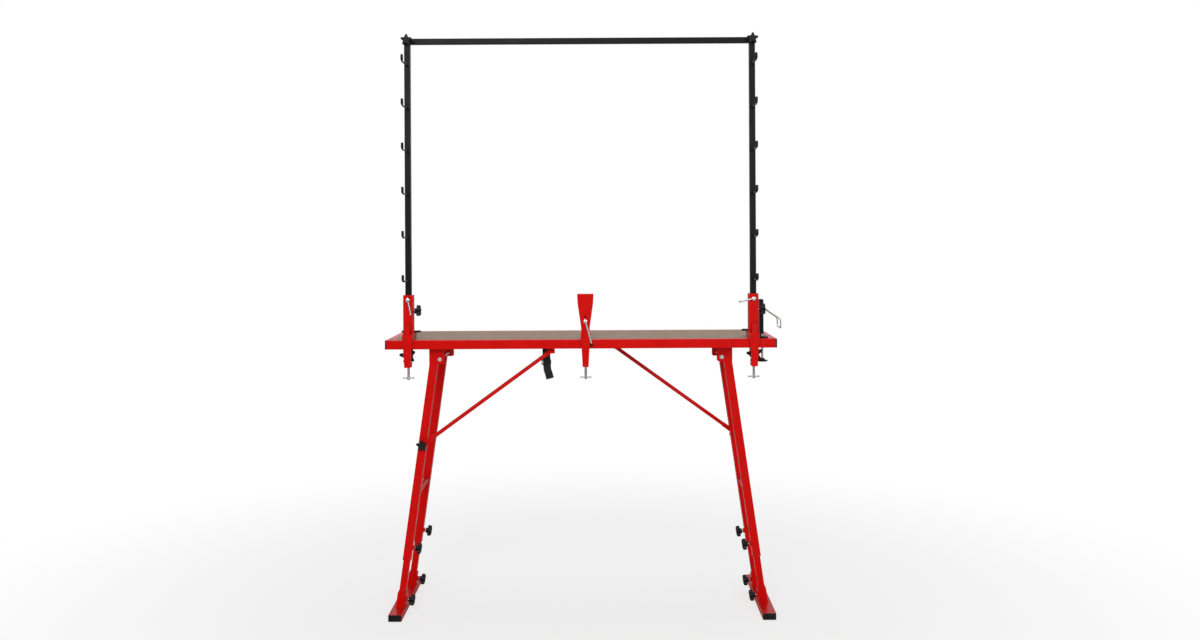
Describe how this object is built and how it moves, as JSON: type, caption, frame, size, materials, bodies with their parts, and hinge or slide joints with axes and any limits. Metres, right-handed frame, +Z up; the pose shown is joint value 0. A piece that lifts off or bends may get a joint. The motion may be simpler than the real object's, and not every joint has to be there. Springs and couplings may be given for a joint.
{
  "type": "ski waxing table",
  "caption": "Folding ski waxing table with splayed telescoping legs, edge-clamped end supports, a central vise, a drying rack with ski arms and an iron holder.",
  "frame": {"origin": "on the floor under the middle of the table top", "axes": "+X to the right along the table top, +Y away from the person in front, towards the back rail, +Z up"},
  "size_m": [1.2203, 0.4715, 1.7861],
  "materials": {
    "red_powder_coat": "satin powder coat",
    "black_powder_coat": "satin powder coat",
    "black_plastic": "fine grained moulding",
    "zinc_steel": "bright zinc plating",
    "taupe_laminate": "laminated board",
    "black_webbing": "woven webbing"
  },
  "bodies": {
    "table": {"front_rail": "red_powder_coat", "front_rail_left_cap": "black_plastic", "front_rail_right_cap": "black_plastic", "holder_bracket": "black_powder_coat", "holder_cradle": "zinc_steel", "left_brace_anchor": "red_powder_coat", "left_hinge_bracket": "red_powder_coat", "left_leg_axle": "zinc_steel", "left_support": "red_powder_coat", "rear_rail": "red_powder_coat", "rear_rail_left_cap": "black_plastic", "rear_rail_right_cap": "black_plastic", "right_brace_anchor": "red_powder_coat", "right_hinge_bracket": "red_powder_coat", "right_leg_axle": "zinc_steel", "right_support": "red_powder_coat", "strap": "black_webbing", "strap_buckle": "black_plastic", "top_board": "taupe_laminate", "vise_body": "red_powder_coat"},
    "left_leg": {"left_leg_frame": "red_powder_coat"},
    "left_foot": {"left_foot_bar": "red_powder_coat", "left_front_inner_tube": "red_powder_coat", "left_rear_inner_tube": "red_powder_coat", "left_front_foot_cap": "black_plastic", "left_rear_foot_cap": "black_plastic"},
    "left_brace": {"left_brace": "red_powder_coat"},
    "left_front_height_knob": {"left_front_height_knob": "black_plastic"},
    "left_front_socket_knob": {"left_front_socket_knob": "black_plastic"},
    "left_rear_height_knob": {"left_rear_height_knob": "black_plastic"},
    "left_rear_socket_knob": {"left_rear_socket_knob": "black_plastic"},
    "left_brace_knob": {"left_brace_knob": "black_plastic"},
    "left_post_knob": {"left_post_knob": "black_plastic"},
    "left_support_lever": {"left_support_lever": "zinc_steel"},
    "left_clamp_screw": {"left_clamp_screw": "zinc_steel"},
    "left_corner_knob": {"left_corner_knob": "black_plastic"},
    "right_leg": {"right_leg_frame": "red_powder_coat"},
    "right_foot": {"right_foot_bar": "red_powder_coat", "right_front_inner_tube": "red_powder_coat", "right_rear_inner_tube": "red_powder_coat", "right_front_foot_cap": "black_plastic", "right_rear_foot_cap": "black_plastic"},
    "right_brace": {"right_brace": "red_powder_coat"},
    "right_front_height_knob": {"right_front_height_knob": "black_plastic"},
    "right_front_socket_knob": {"right_front_socket_knob": "black_plastic"},
    "right_rear_height_knob": {"right_rear_height_knob": "black_plastic"},
    "right_rear_socket_knob": {"right_rear_socket_knob": "black_plastic"},
    "right_brace_knob": {"right_brace_knob": "black_plastic"},
    "right_post_knob": {"right_post_knob": "black_plastic"},
    "right_support_lever": {"right_support_lever": "zinc_steel"},
    "right_clamp_screw": {"right_clamp_screw": "zinc_steel"},
    "right_corner_knob": {"right_corner_knob": "black_plastic"},
    "rack": {"left_upright": "black_powder_coat", "right_upright": "black_powder_coat", "rack_crossbar": "black_powder_coat"},
    "vise_clamp_screw": {"vise_clamp_screw": "zinc_steel"},
    "vise_front_jaw": {"vise_front_jaw": "red_powder_coat"},
    "vise_lever": {"vise_lever": "zinc_steel"},
    "holder_knob": {"holder_knob": "black_plastic"}
  },
  "joints": [
    {"name": "left_leg_fold", "type": "hinge", "parent": "table", "child": "left_leg", "pos_m": [-0.438, 0, 0.786], "axis": [0, -1, 0], "range_deg": [0, 78]},
    {"name": "left_foot_slide", "type": "slide", "parent": "left_leg", "child": "left_foot", "axis": [-0.1409, 0, -0.99], "range_m": [-0.09, 0.06]},
    {"name": "left_brace_turn", "type": "hinge", "parent": "table", "child": "left_brace", "pos_m": [-0.093, -0.1255, 0.8115], "axis": [0, 1, 0], "range_deg": [0, 26]},
    {"name": "left_front_height_knob_turn", "type": "hinge", "parent": "left_leg", "child": "left_front_height_knob", "pos_m": [-0.53938, -0.1125, 0.20145], "axis": [0.99, 0, -0.1409], "range_deg": [0, 360]},
    {"name": "left_front_socket_knob_turn", "type": "hinge", "parent": "left_foot", "child": "left_front_socket_knob", "pos_m": [-0.56207, -0.1125, 0.042], "axis": [0.99, 0, -0.1409], "range_deg": [0, 360]},
    {"name": "left_rear_height_knob_turn", "type": "hinge", "parent": "left_leg", "child": "left_rear_height_knob", "pos_m": [-0.53938, 0.1125, 0.20145], "axis": [0.99, 0, -0.1409], "range_deg": [0, 360]},
    {"name": "left_rear_socket_knob_turn", "type": "hinge", "parent": "left_foot", "child": "left_rear_socket_knob", "pos_m": [-0.56207, 0.1125, 0.042], "axis": [0.99, 0, -0.1409], "range_deg": [0, 360]},
    {"name": "left_brace_knob_turn", "type": "hinge", "parent": "left_leg", "child": "left_brace_knob", "pos_m": [-0.49389, -0.125, 0.52104], "axis": [0, -1, 0], "range_deg": [0, 360]},
    {"name": "left_post_knob_turn", "type": "hinge", "parent": "table", "child": "left_post_knob", "pos_m": [-0.53, -0.15, 0.938], "axis": [1, 0, 0], "range_deg": [0, 360]},
    {"name": "left_support_lever_turn", "type": "hinge", "parent": "table", "child": "left_support_lever", "pos_m": [-0.53, -0.16, 0.972], "axis": [0, 1, 0], "range_deg": [0, 180]},
    {"name": "left_clamp_screw_travel", "type": "slide", "parent": "table", "child": "left_clamp_screw", "axis": [0, 0, 1], "range_m": [-0.015, 0]},
    {"name": "left_corner_knob_turn", "type": "hinge", "parent": "rack", "child": "left_corner_knob", "pos_m": [-0.53, -0.159, 1.769], "axis": [0, -1, 0], "range_deg": [0, 360]},
    {"name": "right_leg_fold", "type": "hinge", "parent": "table", "child": "right_leg", "pos_m": [0.438, 0, 0.786], "axis": [0, 1, 0], "range_deg": [0, 78]},
    {"name": "right_foot_slide", "type": "slide", "parent": "right_leg", "child": "right_foot", "axis": [0.1409, 0, -0.99], "range_m": [-0.09, 0.06]},
    {"name": "right_brace_turn", "type": "hinge", "parent": "table", "child": "right_brace", "pos_m": [0.093, 0.0955, 0.8115], "axis": [0, -1, 0], "range_deg": [0, 26]},
    {"name": "right_front_height_knob_turn", "type": "hinge", "parent": "right_leg", "child": "right_front_height_knob", "pos_m": [0.53938, -0.0825, 0.20145], "axis": [-0.99, 0, -0.1409], "range_deg": [0, 360]},
    {"name": "right_front_socket_knob_turn", "type": "hinge", "parent": "right_foot", "child": "right_front_socket_knob", "pos_m": [0.56207, -0.0825, 0.042], "axis": [-0.99, 0, -0.1409], "range_deg": [0, 360]},
    {"name": "right_rear_height_knob_turn", "type": "hinge", "parent": "right_leg", "child": "right_rear_height_knob", "pos_m": [0.53938, 0.0825, 0.20145], "axis": [-0.99, 0, -0.1409], "range_deg": [0, 360]},
    {"name": "right_rear_socket_knob_turn", "type": "hinge", "parent": "right_foot", "child": "right_rear_socket_knob", "pos_m": [0.56207, 0.0825, 0.042], "axis": [-0.99, 0, -0.1409], "range_deg": [0, 360]},
    {"name": "right_brace_knob_turn", "type": "hinge", "parent": "right_leg", "child": "right_brace_knob", "pos_m": [0.49389, 0.095, 0.52104], "axis": [0, 1, 0], "range_deg": [0, 360]},
    {"name": "right_post_knob_turn", "type": "hinge", "parent": "table", "child": "right_post_knob", "pos_m": [0.53, -0.15, 0.938], "axis": [1, 0, 0], "range_deg": [0, 360]},
    {"name": "right_support_lever_turn", "type": "hinge", "parent": "table", "child": "right_support_lever", "pos_m": [0.53, -0.16, 0.972], "axis": [0, 1, 0], "range_deg": [0, 180]},
    {"name": "right_clamp_screw_travel", "type": "slide", "parent": "table", "child": "right_clamp_screw", "axis": [0, 0, 1], "range_m": [-0.015, 0]},
    {"name": "right_corner_knob_turn", "type": "hinge", "parent": "rack", "child": "right_corner_knob", "pos_m": [0.53, -0.159, 1.769], "axis": [0, -1, 0], "range_deg": [0, 360]},
    {"name": "rack_lift", "type": "slide", "parent": "table", "child": "rack", "axis": [0, 0, 1], "range_m": [0, 0.05]},
    {"name": "vise_clamp_screw_travel", "type": "slide", "parent": "table", "child": "vise_clamp_screw", "axis": [0, 0, 1], "range_m": [-0.015, 0]},
    {"name": "vise_jaw_slide", "type": "slide", "parent": "table", "child": "vise_front_jaw", "axis": [0, -1, 0], "range_m": [0, 0.01]},
    {"name": "vise_lever_turn", "type": "hinge", "parent": "vise_front_jaw", "child": "vise_lever", "pos_m": [0.014, -0.1715, 0.906], "axis": [0, 1, 0], "range_deg": [0, 180]},
    {"name": "holder_knob_turn", "type": "hinge", "parent": "table", "child": "holder_knob", "pos_m": [0.562, -0.115, 0.824], "axis": [0, 0, 1], "range_deg": [0, 360]}
  ],
  "couplings": [
    {"joint": "left_brace_turn", "follows": "left_leg_fold", "ratio": 0.33333},
    {"joint": "right_brace_turn", "follows": "right_leg_fold", "ratio": 0.33333},
    {"joint": "vise_jaw_slide", "follows": "vise_lever_turn", "m_per_rad": 0.0031831}
  ]
}
